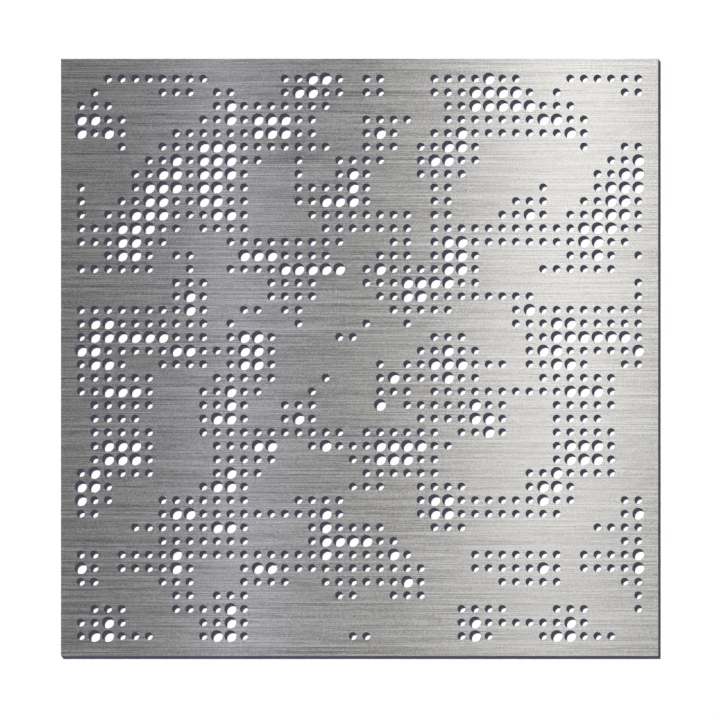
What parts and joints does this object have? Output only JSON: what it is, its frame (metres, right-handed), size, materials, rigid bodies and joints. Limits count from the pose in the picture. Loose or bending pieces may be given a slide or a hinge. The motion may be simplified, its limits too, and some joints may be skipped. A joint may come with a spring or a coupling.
{
  "type": "perforated metal sheet",
  "caption": "Flat square brushed steel sheet punched with round holes of two sizes on a square grid, in irregular clusters, for screens, cladding and panels.",
  "frame": {"origin": "centre of the sheet's back face, which lies on the floor", "axes": "+Z out of the brushed front face, +X along the brushing, to the right, and +Y up the panel"},
  "size_m": [0.6, 0.6, 0.003],
  "materials": {
    "brushed_steel": "brushed"
  },
  "bodies": {
    "root": {"perforated_sheet": "brushed_steel"}
  },
  "joints": []
}
